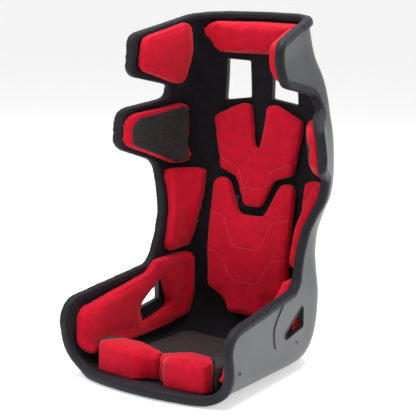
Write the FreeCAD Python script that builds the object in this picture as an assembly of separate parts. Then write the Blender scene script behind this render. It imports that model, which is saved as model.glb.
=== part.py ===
import FreeCAD, Part
import math
import os

# Racing bucket seat: laminated shell, fabric trim, padded rim and removable pads.
# Millimetres. +X is the seated person's left, -Y is forward, +Z is up.
# The origin is at the middle of the overall size, on the floor under the pan.

# ---- driving dimensions -------------------------------------------------------------
SHELL_WALL = 4.0               # glass-fibre laminate
TRIM_WALL = 4.5                # fabric on thin foam
FRAME_SHIFT = FreeCAD.Vector(0, 4.4, 0.1)   # from the drawing's origin to the part's
SEAM = 0.3                     # air left between neighbouring curved pieces
TRIM_IN = SHELL_WALL + SEAM    # depths are measured inwards from the shell's outside
TRIM_OUT = TRIM_IN + TRIM_WALL

# Half width of the shell at the rear corner, by height.
REAR_HALF_WIDTH = [
    (0, 222), (180, 222), (240, 218), (290, 215), (345, 217), (407, 235), (445, 249),
    (490, 253), (560, 248), (600, 241), (640, 229), (680, 219), (720, 206), (745, 197),
    (790, 179), (830, 175), (900, 173)]
HIP_SPREAD = 0.036             # how fast the hip sides open towards the front
HIP_SPREAD_Y = 120.0
# How much further out each wing is at its front edge, by height.
WING_FLARE = [
    (450, 0), (485, 24), (510, 48), (540, 53), (620, 56), (642, 53), (655, 33),
    (672, 10), (690, 6), (735, 14), (775, 20), (800, 24), (900, 26)]
FLARE_START_Y = 200.0
FLARE_LENGTH = 170.0
FLARE_POWER = 1.4

# Section rays in the middle plane: outside of the back or pan, then a point past the
# rim, then the corner radius and the crown of the back at that section.
RAYS = [
    ((258, 905), (-80, 905), 108, 8),
    ((260, 872), (-80, 872), 98, 8),
    ((266, 800), (-80, 800), 80, 7),
    ((272, 720), (-80, 720), 74, 6),
    ((274, 650), (-40, 650), 82, 6),
    ((273, 580), (-40, 580), 94, 6),
    ((270, 500), (-20, 500), 98, 6),
    ((262, 430), (20, 430), 90, 5),
    ((252, 370), (40, 375), 80, 4),
    ((241, 310), (30, 330), 75, 4),
    ((234, 250), (10, 295), 64, 4),
    ((234, 190), (-20, 275), 58, 3),
    ((234, 130), (-50, 262), 60, 3),
    ((220, 62), (-80, 255), 66, 2),
    ((180, 14), (-110, 250), 72, 2),
    ((120, 1), (-140, 248), 78, 2),
    ((40, 0), (-175, 246), 84, 2),
    ((-60, 0), (-210, 244), 88, 2),
    ((-160, 2), (-245, 242), 90, 2),
    ((-240, 8), (-275, 240), 90, 2),
    ((-305, 16), (-305, 238), 90, 2)]
STATIONS = 44                  # sections the surfaces pass through

# Side view of the laminate's rim: (y, z, corner radius). The lip is cut in plan.
LIP_TOP = 24.0
LIP_SIDE_Y = -243.0            # front of the pan beside the walls
LIP_BOW = 34.0                 # how far the lip stands forward of that in the middle
LIP_HALF_WIDTH = 200.0
RIM = [
    (340, 885, 0), (178, 867, 220), (-33, 819, 26), (-26, 729, 28), (143, 697, 28),
    (158, 650, 20), (33, 623, 22), (35, 531, 28), (141, 491, 40), (147, 438, 80),
    (72, 220, 48), (-278, 185, 50), (LIP_SIDE_Y, LIP_TOP, 0), (-340, LIP_TOP, 0),
    (-340, -40, 0), (340, -40, 0)]

# Padded rim: how far it stands out, in, over the edge and down from it.
ROLL_OUT = 8.5
ROLL_IN = 13.0
ROLL_OVER = 7.0
ROLL_DOWN = 13.0

# Belt openings. Harness and crotch: front or plan view; lap: side view (y, z, radius).
HARNESS_SLOT = [(32, 759, 7), (104, 762, 7), (112, 647, 7), (29, 659, 7)]
LAP_SLOT = [(105, 179, 8), (110, 117, 8), (11, 104, 8), (8, 123, 12)]
CROTCH_SLOT = [(-32, -128, 14), (32, -128, 14), (32, -84, 14), (-32, -84, 14)]
BINDING_WALL = 2.6             # rubber edging inside each belt opening
BINDING_PROUD = 1.5
BOSS = [(70, 232, 0), (-8, 192, 70), (-50, 150, 44), (-38, 92, 16), (128, 100, 22),
        (120, 188, 50), (84, 236, 0)]      # raised panel round the lap opening
BOSS_HEIGHT = 2.5

# Side mounts: two threaded inserts a side, in line along Y.
MOUNT_SPACING = 290.0
MOUNT_Z = 84.0
MOUNT_MID_Y = -65.0
INSERT_RADIUS = 5.5
THREAD_RADIUS = 3.4            # core of an M8 thread
INSERT_LENGTH = 8.0
PLATE_WALL = 3.0               # steel strip laminated behind the inserts
PLATE = [(-236, 66, 10), (104, 66, 10), (104, 100, 10), (-236, 100, 10)]

# Hook tape on the trim and loop tape on the pads fill the gap behind each pad.
HOOK = (TRIM_OUT + SEAM, TRIM_OUT + SEAM + 1.8)
LOOP = (HOOK[1] + SEAM, HOOK[1] + SEAM + 1.8)
PAD_IN = LOOP[1] + SEAM
TAPE_WIDTH = 50.0

# Side pads: side view outline (y, z, radius) and depth of the face.
SIDE_PADS = {
    "head_side_pad": ([(-20, 820, 34), (148, 861, 26), (183, 681, 26),
                       (-20, 737, 40)], 38),
    "shoulder_pad": ([(30, 617, 34), (214, 647, 26), (222, 458, 26),
                      (32, 534, 34)], 38),
    "rib_pad": ([(150, 466, 28), (300, 466, 0), (300, 240, 0), (96, 246, 34),
                 (148, 425, 150)], 43),
    "hip_pad": ([(-240, 167, 36), (30, 210, 44), (62, 240, 26), (260, 240, 0),
                 (260, 70, 0), (112, 48, 60), (-240, 46, 46)], 40)}
# Front view limit of the pads that reach the rear corner: right half, (x, z, radius).
PAD_REAR_EDGE = {
    "rib_pad": [(152, 480, 30), (152, 400, 200), (160, 325, 120), (174, 262, 40),
                (196, 232, 20), (400, 232, 0), (400, 480, 0)],
    "hip_pad": [(166, 241, 30), (165, 120, 60), (172, 66, 30), (186, 40, 20),
                (400, 40, 0), (400, 241, 0)]}
HIP_PAD_HOLE = [(94, 190, 14), (127, 102, 10), (13, 77, 12), (-7, 126, 24)]
GRIP_PANEL = [(44, 606, 26), (206, 636, 20), (214, 469, 20), (44, 537, 26)]
GRIP_WALL = 1.0
# Pads of the back: right half of the front view outline, from the top middle round.
HEAD_PAD = ([(126, 862, 22), (136, 826, 30), (120, 773, 26)], 42)
UPPER_BACK_PAD = ([(6, 532, 5), (22, 645, 14), (50, 650, 40), (139, 610, 22),
                   (112, 466, 20), (57, 449, 22), (27, 374, 24)], 35)
LOWER_BACK_PAD = ([(38, 356, 20), (78, 446, 24), (124, 452, 24), (124, 150, 24),
                   (75, 122, 30), (50, 84, 22)], 40)
# Seat cushion: plan outlines, right half, and heights.
LEG_CUSHION = [(3, -203, 0), (20, -211, 10), (44, -243, 18), (100, -246, 30),
               (158, -238, 16), (164, -208, 12), (132, -164, 14), (66, -160, 20),
               (3, -168, 0)]
LEG_CUSHION_TOP = 98.0
THIGH_DIP = [(-75, 98.5, 0), (0, 86, 40), (75, 98.5, 0), (0, 140, 0)]    # front view
THIGH_SPLIT = (6.0, 30.0, 60.0, -192.0)      # width, length, height and front end
BOLSTER = [(127.2, -160, 0), (160, -215, 0), (184, -205, 10), (184, -160, 14),
           (150, -140, 14), (127.2, -140, 0)]
BOLSTER_TOP = 92.0
HIP_ROOM = (174.5, 72.0)       # the hip pads' feet: half width and height kept free
BASE_PAD = [(128, -175, 10), (168, -110, 16), (160, 150, 30)]
BASE_PAD_DEPTH = 34.0
CROTCH_CLEARANCE = 3.0


def table(rows, at):
    """Smooth, overshoot-free value of a (key, value) table."""
    if at <= rows[0][0]:
        return rows[0][1]
    if at >= rows[-1][0]:
        return rows[-1][1]
    steps = [(b[1] - a[1]) / (b[0] - a[0]) for a, b in zip(rows, rows[1:])]
    slopes = [0.0]
    for left, right in zip(steps, steps[1:]):
        turning = left * right <= 0
        slopes.append(0.0 if turning else 2 * left * right / (left + right))
    slopes.append(0.0)
    i = next(k for k in range(len(steps)) if at <= rows[k + 1][0])
    span = rows[i + 1][0] - rows[i][0]
    t = (at - rows[i][0]) / span
    return ((1 + 2 * t) * (1 - t) ** 2 * rows[i][1] + t * (1 - t) ** 2 * span * slopes[i]
            + t * t * (3 - 2 * t) * rows[i + 1][1] + t * t * (t - 1) * span * slopes[i + 1])


def half_width(y, z):
    """Outside half width of the shell's side wall at a point of the side view."""
    forward = max(0.0, (FLARE_START_Y - y) / FLARE_LENGTH) ** FLARE_POWER
    hips = HIP_SPREAD * max(0.0, HIP_SPREAD_Y - y) * table([(230, 1), (320, 0)], z)
    return table(REAR_HALF_WIDTH, z) + table(WING_FLARE, z) * forward + hips


def curve_through(points):
    """Planar spline in the middle plane through (y, z) points, on an even parameter."""
    curve = Part.BSplineCurve()
    curve.interpolate(Points=[FreeCAD.Vector(0, y, z) for y, z in points],
                      Parameters=[float(i) for i in range(len(points))])
    return curve


def section_points(base, tip, radius, crown):
    """Half section from the middle plane round the corner and up the side wall."""
    ray = tip.sub(base)
    length = ray.Length
    ray.normalize()

    def point(x, depth):
        place = base.add(ray * depth)
        return FreeCAD.Vector(x, place.y, place.z)

    def width_at(depth):
        place = base.add(ray * depth)
        return half_width(place.y, place.z)

    flat = width_at(crown) - radius
    points = [point(flat * k / 4, crown * (k / 4) ** 2) for k in range(5)]
    for k in range(1, 6):
        angle = math.radians(18 * k)
        depth = crown + radius * (1 - math.cos(angle))
        points.append(point(width_at(depth) - radius + radius * math.sin(angle), depth))
    start = crown + radius
    for k in range(1, 7):
        depth = start + (length - start) * k / 6
        points.append(point(width_at(depth), depth))
    return points


def outer_grid():
    """Points of the shell's outside, section by section from the top edge to the lip."""
    base = curve_through([r[0] for r in RAYS])
    tip = curve_through([r[1] for r in RAYS])
    last = len(RAYS) - 1
    radii = [(i, r[2]) for i, r in enumerate(RAYS)]
    crowns = [(i, r[3]) for i, r in enumerate(RAYS)]
    grid = []
    for k in range(STATIONS):
        at = last * k / (STATIONS - 1)
        half = section_points(base.value(at), tip.value(at), table(radii, at),
                              table(crowns, at))
        mirrored = [FreeCAD.Vector(-p.x, p.y, p.z) for p in reversed(half[1:])]
        grid.append(mirrored + half)
    return grid


def surface_through(grid):
    surface = Part.BSplineSurface()
    surface.interpolate(grid)
    return surface


OUTER_GRID = outer_grid()
OUTER = surface_through(OUTER_GRID)
SURFACES = {0.0: OUTER}


def inward(point):
    """Unit normal of the outside surface, pointing into the seat."""
    u, v = OUTER.parameter(point)
    normal = OUTER.normal(u, v)
    inside = FreeCAD.Vector(0, 60, 330) if point.z < 330 else FreeCAD.Vector(0, 60, point.z)
    return normal if normal.dot(inside.sub(point)) > 0 else normal * -1


NORMALS = [[inward(p) for p in row] for row in OUTER_GRID]


def surface_at(depth):
    """The outside surface moved inwards by a depth (outwards if negative)."""
    if depth not in SURFACES:
        SURFACES[depth] = surface_through(
            [[p.add(n * depth) for p, n in zip(points, normals)]
             for points, normals in zip(OUTER_GRID, NORMALS)])
    return SURFACES[depth]


def layer(near, far):
    """Closed skin of the whole bucket between two depths, not yet cut to the rim."""
    faces = [surface_at(near).toShape(), surface_at(far).toShape()]
    borders = []
    for face in faces:
        surface = face.Surface
        u0, u1, v0, v1 = surface.bounds()
        borders.append([surface.uIso(u0).toShape(), surface.uIso(u1).toShape(),
                        surface.vIso(v0).toShape(), surface.vIso(v1).toShape()])
    faces += [Part.makeRuledSurface(a, b) for a, b in zip(*borders)]
    shell = Part.Shell(faces)
    shell.sewShape()
    solid = Part.Solid(shell)
    return solid if solid.Volume > 0 else solid.reversed()


# ---- outlines and cutters -----------------------------------------------------------
def rounded(points, to_3d):
    """Closed planar wire through (a, b, radius) corners, rounded with tangent arcs."""
    corners = [to_3d(a, b) for a, b, radius in points]
    count = len(points)
    spans = []
    for i, (a, b, radius) in enumerate(points):
        here = corners[i]
        before = corners[i - 1].sub(here).normalize()
        after = corners[(i + 1) % count].sub(here).normalize()
        half = before.getAngle(after) / 2
        if radius == 0:
            spans.append((here, None, here))
            continue
        reach = radius / math.tan(half)
        middle = before.add(after).normalize()
        crest = here.add(middle * (radius / math.sin(half) - radius))
        spans.append((here.add(before * reach), crest, here.add(after * reach)))
    edges = []
    for i, (start, crest, end) in enumerate(spans):
        if crest is not None:
            edges.append(Part.Arc(start, crest, end).toShape())
        following = spans[(i + 1) % count][0]
        if end.distanceToPoint(following) > 1e-6:
            edges.append(Part.makeLine(end, following))
    return Part.Wire(edges)


def side_view(y, z):
    return FreeCAD.Vector(0, y, z)


def front_view(x, z):
    return FreeCAD.Vector(x, 0, z)


def plan_view(x, y):
    return FreeCAD.Vector(x, y, 0)


def prism(wire, direction, start, end):
    """Solid swept from a planar wire along a direction, between two distances."""
    face = Part.Face(wire)
    face.translate(direction * start)
    return face.extrude(direction * (end - start))


X = FreeCAD.Vector(1, 0, 0)
Y = FreeCAD.Vector(0, 1, 0)
Z = FreeCAD.Vector(0, 0, 1)


def grown(wire, by):
    """The wire moved outwards (inwards if negative) in its own plane."""
    return wire.makeOffset2D(by) if by else wire


def lip_cutter(by):
    """Everything in front of the pan's bowed lip, below the foot of the walls."""
    side = LIP_SIDE_Y - by
    front = side - LIP_BOW
    wide = LIP_HALF_WIDTH
    arc = Part.Arc(FreeCAD.Vector(-wide, side, 0), FreeCAD.Vector(0, front, 0),
                   FreeCAD.Vector(wide, side, 0)).toShape()
    corners = [(wide, side), (400, side), (400, -400), (-400, -400), (-400, side),
               (-wide, side)]
    points = [FreeCAD.Vector(x, y, 0) for x, y in corners]
    lines = [Part.makeLine(a, b) for a, b in zip(points, points[1:])]
    return prism(Part.Wire([arc] + lines), Z, -60, LIP_TOP + abs(by) + 0.5)


def inside_rim(by):
    """Region bounded by the rim, moved outwards by a distance."""
    side = prism(grown(rounded(RIM, side_view), by), X, -400, 400)
    return side.cut(lip_cutter(by))


def mirrored(shape):
    return shape.mirror(FreeCAD.Vector(0, 0, 0), X)


def biggest(shape):
    return max(shape.Solids, key=lambda solid: solid.Volume)


def in_side_view(skin, outline, sign=1, by=0.0, nearest=60):
    """Part of a skin's side wall inside a side view outline, beyond the nearest x."""
    wire = grown(rounded(outline, side_view), by)
    return skin.common(prism(wire, X * sign, nearest, 400))


def in_front_view(skin, wire):
    """Part of a skin's back inside a front view outline."""
    return skin.common(prism(wire, Y, 110, 400))


def whole(half_outline):
    """Closed outline from its right half, listed from the middle round to the middle."""
    return half_outline + [(-a, b, r) for a, b, r in reversed(half_outline)]


# ---- pieces -------------------------------------------------------------------------
RIM_REGION = inside_rim(0.0)
SIDES = (("left", 1), ("right", -1))


def slot_prisms(by):
    """All belt openings through the shell, moved outwards by a distance."""
    harness = grown(rounded(HARNESS_SLOT, front_view), by)
    lap = grown(rounded(LAP_SLOT, side_view), by)
    crotch = grown(rounded(CROTCH_SLOT, plan_view), by)
    right_harness = prism(harness, Y, 110, 400)
    left_lap = prism(lap, X, 60, 400)
    return {"harness_slot_binding_left": right_harness,
            "harness_slot_binding_right": mirrored(right_harness),
            "lap_slot_binding_left": left_lap,
            "lap_slot_binding_right": mirrored(left_lap),
            "crotch_slot_binding": prism(crotch, Z, -60, 100)}


def mount_points():
    """Outside ends of the four mount axes: (sign, y)."""
    return [(sign, MOUNT_MID_Y + step * MOUNT_SPACING / 2)
            for name, sign in SIDES for step in (-1, 1)]


def mount_face(y):
    """Where an insert ends: just outside the shell wall at its height."""
    return half_width(y, MOUNT_Z) + 0.8


def mount_rods(radius, length, outside=0.0):
    """A round bar at each side mount, running inwards from the insert's end face."""
    bars = []
    for sign, y in mount_points():
        start = FreeCAD.Vector(sign * (mount_face(y) + outside), y, MOUNT_Z)
        bars.append(Part.makeCylinder(radius, length + outside, start, X * -sign))
    return bars


def make_shell():
    raised = in_side_view(layer(-BOSS_HEIGHT, 1.0), BOSS)
    skin = layer(0.0, SHELL_WALL)
    skin = skin.fuse([raised, mirrored(raised)]).common(RIM_REGION)
    holes = list(slot_prisms(0.0).values()) + mount_rods(INSERT_RADIUS + 0.1, 40, 10)
    return skin.cut(holes)


def make_mount_plates():
    skin = layer(TRIM_IN, TRIM_IN + PLATE_WALL)
    plate = in_side_view(skin, PLATE).cut(mount_rods(INSERT_RADIUS + 0.1, 40, 10))
    return Part.makeCompound([plate, mirrored(plate)])


def make_mount_inserts():
    bushes = mount_rods(INSERT_RADIUS, INSERT_LENGTH)
    threads = mount_rods(THREAD_RADIUS, INSERT_LENGTH + 5, 5)
    return Part.makeCompound([bush.cut(thread) for bush, thread in zip(bushes, threads)])


def make_trim():
    skin = layer(TRIM_IN, TRIM_OUT).common(RIM_REGION)
    recess = in_side_view(layer(TRIM_IN - 1.0, TRIM_IN + PLATE_WALL + SEAM), PLATE, by=1.0)
    return skin.cut(list(slot_prisms(0.0).values()) + [recess, mirrored(recess)])


def make_roll():
    band = inside_rim(ROLL_OVER).cut(inside_rim(-ROLL_DOWN))
    core = layer(-SEAM, TRIM_OUT + SEAM).common(inside_rim(SEAM))
    boss_room = in_side_view(layer(-BOSS_HEIGHT - SEAM, 1.0), BOSS, by=0.5)
    return layer(-ROLL_OUT, ROLL_IN).common(band).cut([core, boss_room, mirrored(boss_room)])


def make_bindings():
    """Rubber edging inside each belt opening, proud of the wall but for the floor side."""
    outer = slot_prisms(-0.2)
    inner = slot_prisms(-0.2 - BINDING_WALL)
    inside = TRIM_OUT + BINDING_PROUD
    skins = {"harness": layer(-BINDING_PROUD, inside),
             "lap": layer(-BOSS_HEIGHT - BINDING_PROUD, inside),
             "crotch": layer(BINDING_PROUD, inside)}
    return {name: skins[name.split("_")[0]].common(outer[name].cut(inner[name]))
            for name in outer}


def make_side_pads():
    pieces = {}
    for name, (outline, face_depth) in SIDE_PADS.items():
        pad = in_side_view(layer(PAD_IN, face_depth), outline)
        if name in PAD_REAR_EDGE:
            pad = pad.common(prism(rounded(PAD_REAR_EDGE[name], front_view), Y, -300, 400))
        if name == "hip_pad":
            pad = pad.cut(prism(rounded(HIP_PAD_HOLE, side_view), X, 60, 400))
        pieces[name + "_left"] = pad
        pieces[name + "_right"] = mirrored(pad)
    face_depth = SIDE_PADS["shoulder_pad"][1]
    panel = in_side_view(layer(face_depth + SEAM, face_depth + SEAM + GRIP_WALL), GRIP_PANEL)
    pieces["shoulder_grip_panel_left"] = panel
    pieces["shoulder_grip_panel_right"] = mirrored(panel)
    return pieces


def make_back_pads():
    pads = {"head_pad": HEAD_PAD, "upper_back_pad": UPPER_BACK_PAD,
            "lower_back_pad": LOWER_BACK_PAD}
    return {name: in_front_view(layer(PAD_IN, depth), rounded(whole(half), front_view))
            for name, (half, depth) in pads.items()}


def above_trim(solid):
    """The part of a solid that lies inside the bucket, clear of the tapes."""
    return biggest(solid.cut(layer(-12.0, PAD_IN)))


def make_seat_cushion():
    block = prism(rounded(whole(LEG_CUSHION), plan_view), Z, -20, LEG_CUSHION_TOP)
    wide, length, high, front = THIGH_SPLIT
    slit = Part.makeBox(wide, length, high, FreeCAD.Vector(-wide / 2, front, 60))
    dip = prism(rounded(THIGH_DIP, front_view), Y, -300, -100)
    base = in_plan_view(layer(PAD_IN, BASE_PAD_DEPTH), rounded(whole(BASE_PAD), plan_view))
    bolster = prism(rounded(BOLSTER, plan_view), Z, -20, BOLSTER_TOP)
    bolsters = [above_trim(bolster), above_trim(mirrored(bolster))]
    strap_room = prism(grown(rounded(CROTCH_SLOT, plan_view), CROTCH_CLEARANCE), Z, -20, 200)
    block_room = prism(grown(rounded(whole(LEG_CUSHION), plan_view), SEAM), Z, -20, 200)
    clear, high = HIP_ROOM
    hip_room = Part.makeBox(100, 200, high + 20, FreeCAD.Vector(clear, -300, -20))
    rooms = [strap_room, block_room, hip_room, mirrored(hip_room)]
    base = base.fuse(bolsters).cut(rooms)
    return {"leg_cushion": above_trim(block).cut([slit, dip]), "base_pad": base}


def in_plan_view(skin, wire):
    """Part of a skin's pan inside a plan view outline."""
    return skin.common(prism(wire, Z, -40, 110))


def tape(across, along, view, cutter):
    """A pair of matching hook and loop strips: centre, size and the view they lie in."""
    (a, b), (wide, tall) = across, along
    outline = [(a - wide / 2, b - tall / 2, 5), (a + wide / 2, b - tall / 2, 5),
               (a + wide / 2, b + tall / 2, 5), (a - wide / 2, b + tall / 2, 5)]
    return [cutter(layer(*depths), rounded(outline, view)) for depths in (HOOK, LOOP)]


def make_tapes():
    """Hook tape on the trim and loop tape on the backs of the pads."""
    w = TAPE_WIDTH
    places = {
        "head_pad": [((0, 815), (180, w), front_view, in_front_view)],
        "upper_back_pad": [((sign * 78, 560), (w, 110), front_view, in_front_view)
                           for sign in (-1, 1)],
        "lower_back_pad": [((sign * 78, 290), (w, 220), front_view, in_front_view)
                           for sign in (-1, 1)],
        "seat_cushion": [((sign * 95, 20), (w, 180), plan_view, in_plan_view)
                         for sign in (-1, 1)]}
    pieces = {}
    for pad, strips in places.items():
        pairs = [tape(*strip) for strip in strips]
        pieces[pad + "_hook_tape"] = Part.makeCompound([pair[0] for pair in pairs])
        pieces[pad + "_loop_tape"] = Part.makeCompound([pair[1] for pair in pairs])
    return pieces


def make_side_tapes():
    """Hook tape that fixes each side pad, one strip behind each pad."""
    spots = {"head_side_pad": (86, 775, 130), "shoulder_pad": (128, 568, 130),
             "rib_pad": (178, 360, 26), "hip_pad": (-110, 120, 160)}
    strips = []
    for y, z, wide in spots.values():
        tall = TAPE_WIDTH if wide > TAPE_WIDTH else 140
        outline = [(y - wide / 2, z - tall / 2, 5), (y + wide / 2, z - tall / 2, 5),
                   (y + wide / 2, z + tall / 2, 5), (y - wide / 2, z + tall / 2, 5)]
        strip = in_side_view(layer(HOOK[0], LOOP[1]), outline)
        strips += [strip, mirrored(strip)]
    return Part.makeCompound(strips)


def make_pieces():
    pieces = {"shell": make_shell(), "interior_trim": make_trim(), "edge_roll": make_roll(),
              "mount_inserts": make_mount_inserts(), "mount_plates": make_mount_plates(),
              "side_pad_hook_tape": make_side_tapes()}
    for group in (make_bindings(), make_side_pads(), make_back_pads(), make_seat_cushion(),
                  make_tapes()):
        pieces.update(group)
    return pieces


def main():
    os.makedirs("parts", exist_ok=True)
    for name, shape in make_pieces().items():
        shape.translate(FRAME_SHIFT)
        shape.exportStep(os.path.join("parts", name + ".step"))
        box = shape.optimalBoundingBox()
        print(name, len(shape.Solids), shape.isValid(), round(shape.Volume / 1000, 1), "cm3",
              [round(v, 1) for v in (box.XMin, box.YMin, box.ZMin, box.XMax, box.YMax, box.ZMax)])


main()
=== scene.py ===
import math

import bmesh
import bpy
import numpy as np
from bpy.props import FloatProperty, FloatVectorProperty, IntProperty, PointerProperty
from mathutils import Matrix, Vector
from mathutils.bvhtree import BVHTree
from mathutils.noise import noise


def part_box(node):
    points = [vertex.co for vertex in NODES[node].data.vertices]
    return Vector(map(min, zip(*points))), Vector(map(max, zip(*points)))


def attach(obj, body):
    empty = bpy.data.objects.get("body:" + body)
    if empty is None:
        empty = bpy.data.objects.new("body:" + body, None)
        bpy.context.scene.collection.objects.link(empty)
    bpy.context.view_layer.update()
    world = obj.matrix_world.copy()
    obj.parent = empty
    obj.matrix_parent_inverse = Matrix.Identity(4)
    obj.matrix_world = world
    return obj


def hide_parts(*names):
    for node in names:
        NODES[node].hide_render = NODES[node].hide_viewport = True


bl_info = {
    "name": "Racing Bucket Seat",
    "version": (1, 0, 0),
    "blender": (4, 5, 0),
    "location": "View3D > Sidebar > Bucket Seat",
    "description": "Upholstery, finishes and studio for a laminated racing bucket seat",
    "category": "Object",
}

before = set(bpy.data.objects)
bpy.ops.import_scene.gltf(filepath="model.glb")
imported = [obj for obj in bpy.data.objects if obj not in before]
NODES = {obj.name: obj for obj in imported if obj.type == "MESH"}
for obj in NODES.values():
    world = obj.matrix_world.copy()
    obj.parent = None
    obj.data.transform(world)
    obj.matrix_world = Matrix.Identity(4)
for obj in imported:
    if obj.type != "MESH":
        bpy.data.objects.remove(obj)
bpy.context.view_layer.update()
MM = 0.001
FORWARD = Vector((0, -1, 0))
FLOOR_GAP = 0.5 * MM                 # the rim roll stops this far above the floor
SWELL_ROUNDS = 3                     # relaxing rounds after a pad has been filled
QUICK_SWELL = 1.1                    # share of the tuck that stands for the filling


# ---- settings -----------------------------------------------------------------------
def colour(name, description, default):
    return FloatVectorProperty(name=name, description=description, default=default,
                               subtype="COLOR", size=3, min=0.0, max=1.0)


def length(name, description, default):
    return FloatProperty(name=name, description=description, default=default,
                         min=0.0, unit="LENGTH", precision=4)


class SeatColours(bpy.types.PropertyGroup):
    pad: colour("Pads", "Knitted velour on the removable pads", (0.47, 0.003, 0.020))
    thread: colour("Thread", "Stitching on the back pads", (0.78, 0.13, 0.13))
    trim: colour("Lining", "Fabric that lines the bucket", (0.007, 0.006, 0.008))
    roll: colour("Rim", "Satin fabric round the rim", (0.0060, 0.0062, 0.0095))
    grip: colour("Grip", "Grainy non-slip fabric", (0.016, 0.014, 0.014))
    base: colour("Base pad", "Non-slip fabric under the thighs", (0.021, 0.017, 0.018))
    shell: colour("Shell", "Gel coat of the laminate", (0.043, 0.045, 0.050))


class SeatPadding(bpy.types.PropertyGroup):
    voxel: length("Grid", "Size of the even grid a pad is rebuilt from", 4.4 * MM)
    roll_voxel: length("Rim grid", "Size of the even grid of the rim", 3.5 * MM)
    pinned: length("Back gap", "Closer than this to the lining a pad stays put", 5.8 * MM)
    pressure: FloatProperty(name="Pressure", description="Air pressure that fills a pad",
                            default=4.0, min=0.0)
    frames: IntProperty(name="Frames", description="Length of the filling simulation",
                        default=20, min=1)
    seam_inset: length("Seam inset", "Panel seam to the edge of a side pad", 9.5 * MM)


class SeatStage(bpy.types.PropertyGroup):
    focal: FloatProperty(name="Lens", description="Focal length on a 36 mm sensor",
                         default=104.0, min=1.0, unit="CAMERA")
    floor: length("Floor", "Radius of the studio floor", 400.0)
    key: FloatProperty(name="Key light", description="Power of the large soft box",
                       default=88.0, min=0.0, unit="POWER")
    sky: FloatProperty(name="Room light", description="Strength of the even room light",
                       default=0.55, min=0.0)


# ---- shader building ----------------------------------------------------------------
class Value:
    """A number that changes over a surface. Its operators add Math nodes."""

    def __init__(self, shader, socket):
        self.shader = shader
        self.socket = socket

    def math(self, operation, other, swapped=False):
        first, second = (other, self) if swapped else (self, other)
        return self.shader.node("ShaderNodeMath", {"operation": operation},
                                {0: first, 1: second})

    def __add__(self, other):
        return self.math("ADD", other)

    def __sub__(self, other):
        return self.math("SUBTRACT", other)

    def __rsub__(self, other):
        return self.math("SUBTRACT", other, swapped=True)

    def __mul__(self, other):
        return self.math("MULTIPLY", other)

    __radd__ = __add__
    __rmul__ = __mul__


class Shader:
    """A material under construction: one method adds any node."""

    def __init__(self, name):
        self.material = bpy.data.materials.new(name)
        self.material.use_nodes = True
        self.tree = self.material.node_tree
        self.tree.nodes.clear()

    def node(self, kind, settings=None, inputs=None, output=0):
        made = self.tree.nodes.new(kind)
        for key, value in (settings or {}).items():
            setattr(made, key, value)
        for key, value in (inputs or {}).items():
            if isinstance(value, Value):
                self.tree.links.new(value.socket, made.inputs[key])
            else:
                made.inputs[key].default_value = value
        return Value(self, made.outputs[output])

    def place(self):
        """Object coordinates, in metres."""
        return self.node("ShaderNodeTexCoord", output=3)

    def stretched(self, scale):
        """Object coordinates stretched along each axis."""
        return self.node("ShaderNodeMapping", None, {"Vector": self.place(), "Scale": scale})

    def noise(self, scale, detail=3.0, roughness=0.5, place=None):
        return self.node("ShaderNodeTexNoise", None,
                         {"Vector": place or self.place(), "Scale": scale,
                          "Detail": detail, "Roughness": roughness})

    def cells(self, scale, place=None):
        return self.node("ShaderNodeTexVoronoi", None,
                         {"Vector": place or self.place(), "Scale": scale})

    def between(self, value, low, high):
        """A value turned into 0 at low and 1 at high."""
        return self.node("ShaderNodeMapRange", {"clamp": True},
                         {0: value, 1: low, 2: high, 3: 0.0, 4: 1.0})

    def mix(self, share, first, second):
        """A colour between two, by a share."""
        first, second = ((c if isinstance(c, Value) else (*c, 1.0)) for c in (first, second))
        return self.node("ShaderNodeMix", {"data_type": "RGBA"},
                         {0: share, 6: first, 7: second}, output=2)

    def bump(self, height, distance, strength=1.0, under=None):
        inputs = {"Height": height, "Distance": distance, "Strength": strength}
        if under is not None:
            inputs["Normal"] = under
        return self.node("ShaderNodeBump", None, inputs)

    def finish(self, **sockets):
        """Ends the material with a Principled shader. Underscores stand for spaces."""
        inputs = {key.replace("_", " "): value for key, value in sockets.items()}
        surface = self.node("ShaderNodeBsdfPrincipled", None, inputs)
        end = self.tree.nodes.new("ShaderNodeOutputMaterial")
        self.tree.links.new(surface.socket, end.inputs["Surface"])
        return self.material


def darker(shade, share):
    return tuple(c * share for c in shade)


def pad_velour(shade, name="pad_velour", split=0.0):
    """Brushed knit: soft nap, faint rows, a patchy tone and, when split is given, a painted
    shadow line down the middle for the shade deep in the centre split.
    """
    s = Shader(name)
    nap = s.noise(950.0, 2.0, 0.6)
    rows = s.cells(620.0, s.stretched((1.0, 1.0, 1.7)))
    patches = s.noise(38.0, 4.0, 0.62)
    fleck = s.noise(260.0, 3.0, 0.7)
    tone = s.between(patches * 0.65 + fleck * 0.35, 0.34, 0.66)
    base = s.mix(tone, darker(shade, 0.80), darker(shade, 1.14))
    # painted shade: near-black colour within split of x = 0 stands for the shadow deep in the
    # centre split
    if split:
        across = s.node("ShaderNodeSeparateXYZ", None, {0: s.place()})
        across = s.node("ShaderNodeMath", {"operation": "ABSOLUTE"}, {0: across})
        base = s.mix(s.between(across, split * 0.5, split), darker(shade, 0.04), base)
    height = nap * 0.6 + rows * 0.4
    return s.finish(Base_Color=base, Roughness=s.between(nap, -1.6, 1.4) * 0.4 + 0.55,
                    Sheen_Weight=0.40, Sheen_Roughness=0.42, Sheen_Tint=(1.0, 0.30, 0.28, 1.0),
                    Specular_IOR_Level=0.12, Normal=s.bump(height, 0.0006, 0.55))


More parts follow.
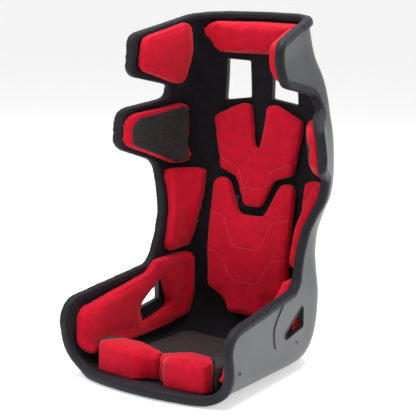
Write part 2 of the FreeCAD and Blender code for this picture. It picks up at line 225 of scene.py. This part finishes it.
def lining_fabric(shade):
    """Close warp knit on thin foam, almost black."""
    s = Shader("lining_fabric")
    loops = s.cells(700.0, s.stretched((1.0, 1.0, 1.6)))
    patches = s.noise(26.0, 4.0, 0.6)
    base = s.mix(s.between(patches, 0.35, 0.65), darker(shade, 0.7), darker(shade, 1.35))
    return s.finish(Base_Color=base, Roughness=s.between(patches, -2.0, 1.5) * 0.3 + 0.72,
                    Sheen_Weight=0.10, Sheen_Roughness=0.5, Sheen_Tint=(0.75, 0.7, 0.8, 1.0),
                    Specular_IOR_Level=0.15, Normal=s.bump(loops, 0.0005, 0.5))


def rim_fabric(shade):
    """Satin stretch fabric: fine twill and a soft shine."""
    s = Shader("rim_fabric")
    twill = s.node("ShaderNodeTexWave", {"wave_type": "BANDS", "bands_direction": "DIAGONAL"},
                   {"Vector": s.place(), "Scale": 300.0, "Distortion": 2.5, "Detail": 2.0,
                    "Detail Scale": 3.0}, output=1)
    patches = s.noise(45.0, 4.0, 0.6)
    base = s.mix(s.between(patches, 0.35, 0.65), darker(shade, 0.8), darker(shade, 1.25))
    return s.finish(Base_Color=base, Roughness=s.between(patches, 0.2, 0.8) * 0.14 + 0.5,
                    Sheen_Weight=0.07, Sheen_Roughness=0.42, Sheen_Tint=(0.8, 0.82, 1.0, 1.0),
                    Specular_IOR_Level=0.22, Normal=s.bump(twill, 0.0003, 0.4))


def grip_fabric(name, shade, grain):
    """Rubber-dotted fabric: raised grains that catch the light."""
    s = Shader(name)
    grains = s.between(s.cells(grain), 0.1, 0.62)
    dust = s.noise(90.0, 4.0, 0.65)
    fleck = s.between(s.noise(grain * 1.3, 2.0, 0.7), 0.52, 0.72)
    worn = s.mix(s.between(dust, 0.35, 0.7), darker(shade, 0.75), darker(shade, 1.4))
    base = s.mix(fleck * 0.5, worn, darker(shade, 3.2))
    return s.finish(Base_Color=base, Roughness=s.between(grains, -1.0, 1.2) * 0.3 + 0.55,
                    Specular_IOR_Level=0.35,
                    Normal=s.bump(1.0 - grains, 0.0011, 0.8))


def shell_coat(shade):
    """Satin gel coat over glass fibre: slight waviness, dust and scuffs."""
    s = Shader("shell_coat")
    waves = s.noise(14.0, 2.0, 0.5)
    peel = s.noise(420.0, 2.0, 0.5)
    dust = s.noise(1500.0, 1.0, 0.5)
    scuffs = s.between(s.noise(60.0, 6.0, 0.75, s.stretched((1.0, 1.0, 6.0))), 0.63, 0.78)
    tone = s.mix(s.between(dust, 0.35, 0.65), darker(shade, 0.93), darker(shade, 1.07))
    base = s.mix(scuffs * 0.10, tone, darker(shade, 1.7))
    rough = s.between(waves, 0.2, 0.8) * 0.06 + 0.34 + scuffs * 0.12
    return s.finish(Base_Color=base, Roughness=rough, Coat_Weight=0.12, Coat_Roughness=0.3,
                    Specular_IOR_Level=0.45,
                    Normal=s.bump(peel, 0.00012, 0.35, s.bump(waves, 0.0012, 0.25)))


def edging_rubber():
    s = Shader("edging_rubber")
    bloom = s.noise(120.0, 4.0, 0.6)
    base = s.mix(s.between(bloom, 0.35, 0.7), (0.003, 0.003, 0.003), (0.009, 0.009, 0.010))
    return s.finish(Base_Color=base, Roughness=s.between(bloom, 0.2, 0.8) * 0.2 + 0.42,
                    Normal=s.bump(s.noise(900.0), 0.0002, 0.4))


def hook_and_loop():
    s = Shader("hook_and_loop")
    hooks = s.cells(620.0)
    base = s.mix(s.between(hooks, 0.1, 0.7), (0.030, 0.030, 0.033), (0.008, 0.008, 0.009))
    return s.finish(Base_Color=base, Roughness=s.between(hooks, -1.0, 1.0) * 0.3 + 0.5,
                    Sheen_Weight=0.2, Normal=s.bump(1.0 - hooks, 0.0012, 0.9))


def turned_steel(name, shade):
    s = Shader(name)
    lines = s.noise(90.0, 5.0, 0.7, s.stretched((1.0, 1.0, 14.0)))
    base = s.mix(s.between(lines, 0.3, 0.7), darker(shade, 0.8), shade)
    return s.finish(Base_Color=base, Metallic=1.0,
                    Roughness=s.between(lines, 0.2, 0.8) * 0.18 + 0.22,
                    Normal=s.bump(lines, 0.0001, 0.3))


def sewing_thread(shade):
    s = Shader("sewing_thread")
    ply = s.node("ShaderNodeTexWave", {"bands_direction": "DIAGONAL"},
                 {"Vector": s.place(), "Scale": 900.0, "Distortion": 1.0})
    base = s.mix(ply, darker(shade, 0.8), shade)
    return s.finish(Base_Color=base, Roughness=s.between(ply, 0.0, 1.0) * 0.1 + 0.5,
                    Sheen_Weight=0.3, Sheen_Roughness=0.4)


def pale_floor():
    s = Shader("pale_floor")
    speck = s.noise(6.0, 3.0, 0.5)
    base = s.mix(s.between(speck, 0.3, 0.7), (0.86, 0.86, 0.86), (0.88, 0.88, 0.88))
    return s.finish(Base_Color=base, Roughness=0.9, Specular_IOR_Level=0.1,
                    Emission_Color=(1.0, 1.0, 1.0, 1.0), Emission_Strength=0.42)


# ---- mesh tools ---------------------------------------------------------------------
def linked(name, mesh):
    made = bpy.data.objects.new(name, mesh)
    bpy.context.scene.collection.objects.link(made)
    return made


def joined_copy(node, name):
    """New mesh with a CAD node's shape, its loose triangles merged."""
    bm = bmesh.new()
    bm.from_mesh(NODES[node].data)
    bmesh.ops.remove_doubles(bm, verts=bm.verts, dist=1e-6)
    mesh = bpy.data.meshes.new(name)
    bm.to_mesh(mesh)
    bm.free()
    mesh.materials.clear()
    return mesh


def with_modifier(mesh, kind, **settings):
    """The mesh after one modifier."""
    holder = linked("holder", mesh)
    modifier = holder.modifiers.new(kind, kind)
    for key, value in settings.items():
        setattr(modifier, key, value)
    graph = bpy.context.evaluated_depsgraph_get()
    result = bpy.data.meshes.new_from_object(holder.evaluated_get(graph))
    bpy.data.objects.remove(holder)
    return result


def remeshed(mesh, voxel):
    return with_modifier(mesh, "REMESH", mode="VOXEL", voxel_size=voxel)


def subdivided(mesh):
    return with_modifier(mesh, "SUBSURF", levels=1, render_levels=1)


def places(mesh):
    co = np.empty(len(mesh.vertices) * 3, np.float32)
    mesh.vertices.foreach_get("co", co)
    return co.reshape(-1, 3).astype(float)


def normals(mesh):
    no = np.empty(len(mesh.vertices) * 3, np.float32)
    mesh.vertex_normals.foreach_get("vector", no)
    return no.reshape(-1, 3).astype(float)


def put(mesh, co):
    mesh.vertices.foreach_set("co", co.astype(np.float32).ravel())
    mesh.update()


def tree_of(mesh, keep=None):
    """Search tree of a mesh, or of the faces that keep() picks."""
    corners = [v.co for v in mesh.vertices]
    faces = [tuple(p.vertices) for p in mesh.polygons if keep is None or keep(p)]
    return BVHTree.FromPolygons(corners, faces)


def gaps(tree, co):
    """Distance from each point to the nearest face in a tree."""
    return np.array([tree.find_nearest(Vector(p))[3] for p in co])


def ramp(value, low, high):
    t = np.clip((value - low) / (high - low), 0, 1)
    return t * t * (3 - 2 * t)


def ripple(co, wavelength, seed):
    """Smooth noise from -1 to 1 at each point."""
    shift = Vector((seed * 3.7, seed * 1.9, seed * 2.3))
    return np.array([noise(Vector(p) / wavelength + shift) for p in co])


def softened(mesh, rounds):
    """Relaxes a mesh."""
    bm = bmesh.new()
    bm.from_mesh(mesh)
    for _ in range(rounds):
        bmesh.ops.smooth_vert(bm, verts=bm.verts, factor=0.5, use_axis_x=True,
                              use_axis_y=True, use_axis_z=True)
    bm.to_mesh(mesh)
    bm.free()


def mirrored(mesh, name):
    """The same piece for the right side of the seat."""
    bm = bmesh.new()
    bm.from_mesh(mesh)
    bmesh.ops.scale(bm, vec=(-1, 1, 1), verts=bm.verts)
    bmesh.ops.reverse_faces(bm, faces=bm.faces)
    copy = bpy.data.meshes.new(name)
    bm.to_mesh(copy)
    bm.free()
    copy.shade_smooth()
    return copy


def rounded_path(corners, radius, step):
    """Evenly spaced points along a line whose corners are rounded."""
    line = [Vector(corners[0])]
    for before, here, after in zip(corners, corners[1:], corners[2:]):
        here = Vector(here)
        start = here + (Vector(before) - here).normalized() * radius
        end = here + (Vector(after) - here).normalized() * radius
        for k in range(7):
            t = k / 6
            line.append(start * (1 - t) ** 2 + here * 2 * t * (1 - t) + end * t * t)
    line.append(Vector(corners[-1]))
    points = [line[0]]
    left = step
    for a, b in zip(line, line[1:]):
        while (b - a).length >= left:
            a = a + (b - a).normalized() * left
            points.append(a)
            left = step
        left -= (b - a).length
    return points


def path_distance(points, path):
    """Distance in a plane from each point to a line."""
    best = np.full(len(points), 1e9)
    for a, b in zip(path, path[1:]):
        a, b = np.array(a), np.array(b)
        along = b - a
        t = np.clip((points - a) @ along / (along @ along), 0, 1)
        best = np.minimum(best, np.linalg.norm(points - a - t[:, None] * along, axis=1))
    return best


# ---- padding ------------------------------------------------------------------------
LINING = tree_of(NODES["interior_trim"].data)


def start_shape(node, voxel, tuck, rounds, pinned):
    """Even, slightly smaller copy of a CAD pad, and which points rest on the lining."""
    mesh = remeshed(joined_copy(node, node + "_start"), voxel)
    gap = gaps(LINING, places(mesh))
    held = gap < pinned
    softened(mesh, rounds)
    co = places(mesh)
    co -= normals(mesh) * (tuck * ramp(gap, pinned, pinned + 8 * MM))[:, None]
    put(mesh, co)
    return mesh, held


def swell(starts, cap, pressure, frames):
    """Fills pads with air by a cloth simulation, then caps how far a point has moved."""
    scene = bpy.context.scene
    holders = []
    for name, (mesh, held) in starts.items():
        holder = linked(name + "_sim", mesh)
        group = holder.vertex_groups.new(name="back")
        group.add([int(i) for i in np.flatnonzero(held)], 1.0, "REPLACE")
        cloth = holder.modifiers.new("Cloth", "CLOTH")
        cloth.settings.vertex_group_mass = "back"
        cloth.settings.use_pressure = True
        cloth.settings.uniform_pressure_force = pressure
        cloth.settings.effector_weights.gravity = 0
        cloth.collision_settings.use_collision = False
        cloth.point_cache.frame_start = 1
        cloth.point_cache.frame_end = frames
        holders.append(holder)
    for moment in range(1, frames + 1):
        scene.frame_set(moment)
    graph = bpy.context.evaluated_depsgraph_get()
    results = {}
    for holder, (name, (mesh, _)) in zip(holders, starts.items()):
        end = places(holder.evaluated_get(graph).data)
        start = places(mesh)
        move = end - start
        far = np.linalg.norm(move, axis=1)
        share = np.minimum(1, cap / np.maximum(far, 1e-9))
        results[name] = start + move * share[:, None]
    for holder in holders:
        bpy.data.objects.remove(holder)
    scene.frame_set(1)
    return results


def padded_meshes(specs):
    """Finished pad meshes by name, from (node, tuck, cap, smoothing rounds) rows."""
    settings = bpy.context.scene.seat_padding
    starts = {node: start_shape(node, settings.voxel, tuck, rounds, settings.pinned)
              for node, tuck, cap, rounds in specs}
    filled = None
    filled = swell(starts, max(row[2] for row in specs), settings.pressure,
                   settings.frames)
    meshes = {}
    for node, tuck, cap, _ in specs:
        mesh, held = starts[node]
        start = places(mesh)
        if filled is None:
            end = start + normals(mesh) * (tuck * QUICK_SWELL * ~held)[:, None]
        else:
            end = start + np.clip(filled[node] - start, -cap, cap)
        put(mesh, end)
        softened(mesh, SWELL_ROUNDS)
        finished = subdivided(mesh)
        finished.shade_smooth()
        meshes[node] = finished
    return meshes


def face_and_walls(node):
    """Search trees of a CAD pad's face and side walls, told apart by depth over the lining."""
    mesh = NODES[node].data
    depth = gaps(LINING, places(mesh))
    near_face = depth.max() - 3 * MM

    def lowest(polygon):
        return min(depth[i] for i in polygon.vertices)

    def highest(polygon):
        return max(depth[i] for i in polygon.vertices)

    face = tree_of(mesh, lambda p: lowest(p) > near_face)
    walls = tree_of(mesh, lambda p: highest(p) - lowest(p) > 3 * MM)
    return face, walls


def rolled_edge(mesh, face, wall, radius):
    """Rounds a pad's edge where its face meets its side walls."""
    co = places(mesh)
    for i, p in enumerate(co):
        beside, over = wall.find_nearest(Vector(p)), face.find_nearest(Vector(p))
        a, b = radius - beside[3], radius - over[3]
        corner = math.hypot(a, b)
        if a > 0 and b > 0 and corner > radius:
            co[i] -= (1 - radius / corner) * np.array(a * beside[1] + b * over[1])
    put(mesh, co)


def crowned(mesh, walls, facing, height, reach):
    """Raises a pad's face towards its middle, up to a distance from its outline."""
    co, no = places(mesh), normals(mesh)
    front = ramp(no @ np.array(facing), 0.1, 0.6)
    inward = np.clip(gaps(walls, co) / reach, 0, 1)
    rise = height * (inward * (2 - inward)) * front
    put(mesh, co + np.outer(rise, facing))


def press_seam(mesh, walls, facing, inset, depth, width):
    """Presses a panel seam into a pad's face, at an even distance from its outline."""
    co, no = places(mesh), normals(mesh)
    front = ramp(no @ np.array(facing), 0.35, 0.7)
    band = np.flatnonzero(front > 0)
    away = np.full(len(co), 1e9)
    away[band] = gaps(walls, co[band])
    press = depth * np.exp(-((away - inset) / width) ** 2) * front
    put(mesh, co - no * press[:, None])


def press_line(mesh, path, facing, depth, width):
    """Presses a sewn line, given in the front view, into a pad's face."""
    co, no = places(mesh), normals(mesh)
    front = ramp(no @ np.array(facing), 0.2, 0.5)
    away = path_distance(co[:, [0, 2]], path)
    press = depth * np.exp(-(away / width) ** 2) * front
    put(mesh, co - no * press[:, None])


def stitches(mesh, path, name):
    """Short threads along a sewn line, laid on the pad's face."""
    tree = tree_of(mesh)
    bm = bmesh.new()
    thread = 0.5 * MM
    for a, b in zip(path[:-1:2], path[1::2]):
        ends = []
        for p in (a, b):
            hit = tree.ray_cast(Vector((p[0], -0.5, p[1])), -FORWARD)
            if hit[0] is not None:
                ends.append(hit[0] + hit[1] * thread * 0.7)
        if len(ends) < 2 or (ends[1] - ends[0]).length > 0.008:
            continue
        along = ends[1] - ends[0]
        turn = along.to_track_quat("Z", "Y").to_matrix().to_4x4()
        size = Matrix.Diagonal((thread, thread, along.length * 0.62, 1.0))
        middle = Matrix.Translation((ends[0] + ends[1]) / 2)
        bmesh.ops.create_uvsphere(bm, u_segments=6, v_segments=5, radius=1.0,
                                  matrix=middle @ turn @ size)
    made = bpy.data.meshes.new(name)
    bm.to_mesh(made)
    bm.free()
    made.shade_smooth()
    return made


def piece(name, mesh, material, body, nodes=()):
    """A finished piece: painted, riding on its body and standing for its CAD nodes."""
    made = linked(name, mesh)
    mesh.name = name
    mesh.materials.clear()
    mesh.materials.append(material)
    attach(made, body)
    if nodes:
        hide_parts(*nodes)
    return made


def material(name, maker, *values):
    """The material of that name, made the first time it is asked for."""
    return bpy.data.materials.get(name) or maker(*values)


def pad_material():
    return material("pad_velour", pad_velour, tuple(bpy.context.scene.seat_colours.pad))


def paint(node, finish):
    """Gives a CAD node that stays in view a better finish."""
    for socket in NODES[node].material_slots:
        socket.material = finish


# ---- operators ----------------------------------------------------------------------
class SEAT_OT_shell(bpy.types.Operator):
    """Paints the laminate shell and its hardware"""
    bl_idname = "seat.shell"
    bl_label = "Shell and Hardware"

    def execute(self, context):
        paint("shell", shell_coat(tuple(context.scene.seat_colours.shell)))
        paint("mount_inserts", turned_steel("insert_steel_bright", (0.16, 0.16, 0.17)))
        paint("mount_plates", turned_steel("plate_steel_dull", (0.40, 0.40, 0.42)))
        rubber = edging_rubber()
        tapes = hook_and_loop()
        for node in NODES:
            if node.endswith(("_binding", "_binding_left", "_binding_right")):
                paint(node, rubber)
            elif node.endswith("_tape"):
                paint(node, tapes)
        return {"FINISHED"}


class SEAT_OT_lining(bpy.types.Operator):
    """Makes the fabric lining, with the slight unevenness of cloth on foam"""
    bl_idname = "seat.lining"
    bl_label = "Lining"

    def execute(self, context):
        mesh = joined_copy("interior_trim", "lining")
        co, no = places(mesh), normals(mesh)
        inside = gaps(tree_of(NODES["shell"].data), co) > 3.0 * MM
        swell_by = ripple(co, 0.07, 1) * 0.5 * MM + ripple(co, 0.02, 2) * 0.12 * MM
        put(mesh, co + no * (swell_by * inside)[:, None])
        mesh.shade_smooth()
        mesh.set_sharp_from_angle(angle=math.radians(40))
        cloth = lining_fabric(tuple(context.scene.seat_colours.trim))
        piece("lining", mesh, cloth, "root", ["interior_trim"])
        return {"FINISHED"}


class SEAT_OT_rim(bpy.types.Operator):
    """Makes the padded fabric roll round the rim"""
    bl_idname = "seat.rim"
    bl_label = "Rim Roll"

    joins = ((0.0, 0.30), (-0.17, 0.30))    # depth of each sewn join, and its highest point
    join_lowest = 0.12

    def execute(self, context):
        settings = context.scene.seat_padding
        mesh = remeshed(joined_copy("edge_roll", "roll_start"), settings.roll_voxel)
        softened(mesh, 10)
        co, no = places(mesh), normals(mesh)
        walls = [tree_of(NODES[n].data) for n in ("shell", "interior_trim")]
        free = ramp(np.minimum(gaps(walls[0], co), gaps(walls[1], co)), 1.0 * MM, 4.0 * MM)
        puff = 1.3 * MM + ripple(co, 0.03, 3) * 0.35 * MM + ripple(co, 0.009, 4) * 0.12 * MM
        for y, top in self.joins:
            near = np.exp(-((co[:, 1] - y) / (1.8 * MM)) ** 2) * (co[:, 2] < top)
            puff = puff - near * 1.1 * MM * (co[:, 2] > self.join_lowest)
        co = co + no * (puff * free)[:, None]
        co[:, 2] = np.maximum(co[:, 2], FLOOR_GAP)
        put(mesh, co)
        mesh.shade_smooth()
        cloth = rim_fabric(tuple(context.scene.seat_colours.roll))
        piece("rim_roll", mesh, cloth, "root", ["edge_roll"])
        return {"FINISHED"}


class SEAT_OT_side_pads(bpy.types.Operator):
    """Makes the head, shoulder, rib and hip pads of both sides"""
    bl_idname = "seat.side_pads"
    bl_label = "Side Pads"

    rows = (("head_side_pad_left", 2.5 * MM, 4.5 * MM, 5),
            ("shoulder_pad_left", 2.5 * MM, 4.0 * MM, 5),
            ("rib_pad_left", 2.5 * MM, 4.5 * MM, 5),
            ("hip_pad_left", 2.5 * MM, 4.5 * MM, 5))
    seamed = ("head_side_pad_left", "hip_pad_left")
    edge_radius = {"head_side_pad_left": 11 * MM, "shoulder_pad_left": 6 * MM,
                   "rib_pad_left": 11 * MM, "hip_pad_left": 11 * MM}
    corner_radius = 26 * MM

    def execute(self, context):
        inset = context.scene.seat_padding.seam_inset
        meshes = padded_meshes(self.rows)
        for node, mesh in meshes.items():
            face, walls = face_and_walls(node)
            rolled_edge(mesh, face, walls, self.edge_radius[node])
            if node == "rib_pad_left":
                self.round_corners(mesh, node)
            if node in self.seamed:
                press_seam(mesh, walls, (-1, 0, 0), inset, 0.9 * MM, 1.7 * MM)
        velour = pad_material()
        for node, mesh in meshes.items():
            other = node.replace("left", "right")
            piece(node.replace("pad", "cushion"), mesh, velour, "root",
                  [node])
            piece(other.replace("pad", "cushion"), mirrored(mesh, other), velour, "root",
                  [other])
        self.make_grips(context, meshes["shoulder_pad_left"])
        return {"FINISHED"}

    def round_corners(self, mesh, node):
        """Rounds the two corners at a pad's rear edge."""
        shape = NODES[node].data
        low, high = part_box(node)
        behind = (low[1] + high[1]) / 2
        rear = tree_of(shape, lambda p: p.normal.x < -0.6 and p.center.y > behind)
        for end in (1, -1):
            cap = tree_of(shape, lambda p: p.normal.z * end > 0.7)
            rolled_edge(mesh, rear, cap, self.corner_radius)

    def make_grips(self, context, pad):
        """Lays the non-slip panel over the finished shoulder pad."""
        node = "shoulder_grip_panel_left"
        mesh = joined_copy(node, "grip")
        bm = bmesh.new()
        bm.from_mesh(mesh)
        low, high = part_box(node)
        for axis in (1, 2):
            direction = Vector((0, 0, 0))
            direction[axis] = 1
            for k in range(1, 24):
                at = low[axis] + (high[axis] - low[axis]) * k / 24
                bmesh.ops.bisect_plane(bm, geom=bm.verts[:] + bm.edges[:] + bm.faces[:],
                                       plane_co=direction * at, plane_no=direction)
        bm.to_mesh(mesh)
        bm.free()
        surface = tree_of(pad)
        walls = tree_of(NODES[node].data, lambda p: abs(p.normal[0]) < 0.3)
        co, no = places(mesh), normals(mesh)
        edge = gaps(walls, co)
        for i, p in enumerate(co):
            hit = surface.ray_cast(Vector((0.05, p[1], p[2])), Vector((1, 0, 0)))
            if hit[0] is None:
                continue
            lift = 1.2 * MM * ramp(edge[i], 0.0, 3.0 * MM) + 0.3 * MM
            co[i, 0] = hit[0].x - (lift if no[i, 0] < 0 else -0.6 * MM)
        put(mesh, co)
        mesh.shade_smooth()
        mesh.set_sharp_from_angle(angle=math.radians(50))
        cloth = grip_fabric("grip_panel_fabric", tuple(context.scene.seat_colours.grip), 240.0)
        for side, shape in (("left", mesh), ("right", mirrored(mesh, "grip_right"))):
            piece("shoulder_grip_" + side, shape, cloth, "root",
                  ["shoulder_grip_panel_" + side])


class SEAT_OT_back_pads(bpy.types.Operator):
    """Makes the head pad and the two stitched back pads"""
    bl_idname = "seat.back_pads"
    bl_label = "Back Pads"

    rows = (("head_pad", 3.0 * MM, 5.5 * MM, 6),
            ("upper_back_pad", 2.5 * MM, 4.0 * MM, 5),
            ("lower_back_pad", 2.5 * MM, 4.0 * MM, 5))
    edge_radius = {"head_pad": 16 * MM, "upper_back_pad": 10 * MM,
                   "lower_back_pad": 10 * MM}
    sewn_radius, stitch_step = 12 * MM, 2.1 * MM
    sewn = {"upper_back_pad": (((0.128, 0.508), (0.050, 0.477), (0.032, 0.427)),),
            "lower_back_pad": (((0.124, 0.358), (0.076, 0.351), (0.038, 0.271)),
                               ((0.124, 0.259), (0.076, 0.248), (0.038, 0.180)))}

    def execute(self, context):
        meshes = padded_meshes(self.rows)
        thread = sewing_thread(tuple(context.scene.seat_colours.thread))
        for node, mesh in meshes.items():
            face, walls = face_and_walls(node)
            if node == "head_pad":
                crowned(mesh, walls, FORWARD, 5 * MM, 45 * MM)
            rolled_edge(mesh, face, walls, self.edge_radius[node])
            for number, half in enumerate(self.sewn.get(node, ()), 1):
                corners = [(-x, z) for x, z in half] + [(x, z) for x, z in reversed(half)]
                path = rounded_path(corners, self.sewn_radius, self.stitch_step)
                press_line(mesh, path, FORWARD, 1.5 * MM, 2.0 * MM)
                name = f"{node}_stitching_{number}"
                piece(name, stitches(mesh, path, name), thread, node)
            piece(node.replace("pad", "cushion"), mesh, pad_material(), node,
                  [node])
        return {"FINISHED"}


class SEAT_OT_seat_cushion(bpy.types.Operator):
    """Makes the leg cushion with its centre split, and the base pad behind it"""
    bl_idname = "seat.seat_cushion"
    bl_label = "Seat Cushion"

    rows = (("leg_cushion", 3.0 * MM, 5.0 * MM, 5),
            ("base_pad", 1.5 * MM, 2.5 * MM, 4))
    creases = (((0.064, -0.226), (0.108, -0.228)),)
    front_radius = 24 * MM
    split_depth, split_width = 9.0 * MM, 3.6 * MM
    crease_depth, crease_width = 3.4 * MM, 2.4 * MM

    def execute(self, context):
        meshes = padded_meshes(self.rows)
        legs = meshes["leg_cushion"]
        block = NODES["leg_cushion"].data
        top_face = tree_of(block, lambda p: p.normal.z > 0.5)
        front_walls = tree_of(block, lambda p: p.normal.y < -0.3 and abs(p.normal.z) < 0.5)
        rolled_edge(legs, top_face, front_walls, self.front_radius)
        co, no = places(legs), normals(legs)
        split = np.exp(-(co[:, 0] / self.split_width) ** 2) * ramp(-no[:, 1], -0.1, 0.3)
        co[:, 1] += self.split_depth * split
        top = ramp(no[:, 2], 0.15, 0.5)
        flat = np.column_stack((np.abs(co[:, 0]), co[:, 1]))
        for crease in self.creases:
            away = path_distance(flat, crease)
            co[:, 2] -= self.crease_depth * np.exp(-(away / self.crease_width) ** 2) * top
        put(legs, co)
        # velour with a painted shadow line, 1.8 mm wide, for the shade in the centre split
        velour = pad_velour(tuple(context.scene.seat_colours.pad), "thigh_velour_split_shadow", 1.8 * MM)
        piece("leg_rest", legs, velour, "seat_cushion", ["leg_cushion"])
        cloth = grip_fabric("base_pad_fabric", tuple(context.scene.seat_colours.base), 420.0)
        piece("base_cushion", meshes["base_pad"], cloth, "seat_cushion",
              ["base_pad"])
        return {"FINISHED"}


class SEAT_OT_stage(bpy.types.Operator):
    """Makes the floor, the soft lights and the camera"""
    bl_idname = "seat.stage"
    bl_label = "Studio"

    camera_at = (1.56397, -2.45701, 0.97226)
    camera_axes = ((0.84274, 0.53796, 0.01941), (-0.11816, 0.14969, 0.98165),
                   (0.52519, -0.82957, 0.18972))
    lamps = (("key", (-1.5, -2.2, 2.9), 2.2, 0.5),
             ("top", (0.2, 0.2, 3.2), 2.2, 1.2),
             ("side", (2.8, -0.6, 1.5), 2.0, 0.3))

    def execute(self, context):
        scene = context.scene
        settings = scene.seat_stage
        bm = bmesh.new()
        bmesh.ops.create_circle(bm, cap_ends=True, segments=96, radius=settings.floor)
        mesh = bpy.data.meshes.new("floor")
        bm.to_mesh(mesh)
        bm.free()
        mesh.materials.append(pale_floor())
        linked("floor", mesh)
        for name, at, size, share in self.lamps:
            light = bpy.data.lights.new(name, "AREA")
            light.shape, light.size, light.energy = "DISK", size, settings.key * share
            lamp = linked(name, light)
            lamp.location = at
            lamp.rotation_euler = (Vector((0, 0, 0.45)) - Vector(at)).to_track_quat(
                "-Z", "Y").to_euler()
        world = bpy.data.worlds.new("room")
        world.use_nodes = True
        sky = world.node_tree.nodes["Background"]
        sky.inputs["Color"].default_value = (1.0, 1.0, 1.0, 1.0)
        sky.inputs["Strength"].default_value = settings.sky
        scene.world = world
        scene.view_settings.view_transform = "Standard"
        data = bpy.data.cameras.new("camera")
        data.lens = settings.focal
        data.sensor_width = 36.0
        camera = linked("camera", data)
        turn = Matrix(self.camera_axes).transposed().to_4x4()
        camera.matrix_world = Matrix.Translation(self.camera_at) @ turn
        scene.camera = camera
        return {"FINISHED"}


class SEAT_PT_parts(bpy.types.Panel):
    bl_idname = "SEAT_PT_parts"
    bl_label = "Bucket Seat"
    bl_space_type = "VIEW_3D"
    bl_region_type = "UI"
    bl_category = "Bucket Seat"

    def draw(self, context):
        for group in (context.scene.seat_colours, context.scene.seat_padding,
                      context.scene.seat_stage):
            for key in group.bl_rna.properties.keys():
                if key not in ("rna_type", "name"):
                    self.layout.prop(group, key)
        for step in STEPS:
            self.layout.operator(step.bl_idname)


STEPS = (SEAT_OT_stage, SEAT_OT_shell, SEAT_OT_lining, SEAT_OT_rim, SEAT_OT_side_pads,
         SEAT_OT_back_pads, SEAT_OT_seat_cushion)
GROUPS = {"seat_colours": SeatColours, "seat_padding": SeatPadding, "seat_stage": SeatStage}


def register():
    for cls in (*GROUPS.values(), *STEPS, SEAT_PT_parts):
        bpy.utils.register_class(cls)
    for name, group in GROUPS.items():
        setattr(bpy.types.Scene, name, PointerProperty(type=group))


def unregister():
    for name in GROUPS:
        delattr(bpy.types.Scene, name)
    for cls in (SEAT_PT_parts, *reversed(STEPS), *reversed(GROUPS.values())):
        bpy.utils.unregister_class(cls)


def main():
    register()
    for step in STEPS:
        family, action = step.bl_idname.split(".")
        getattr(getattr(bpy.ops, family), action)()


if __name__ == "__main__":
    main()
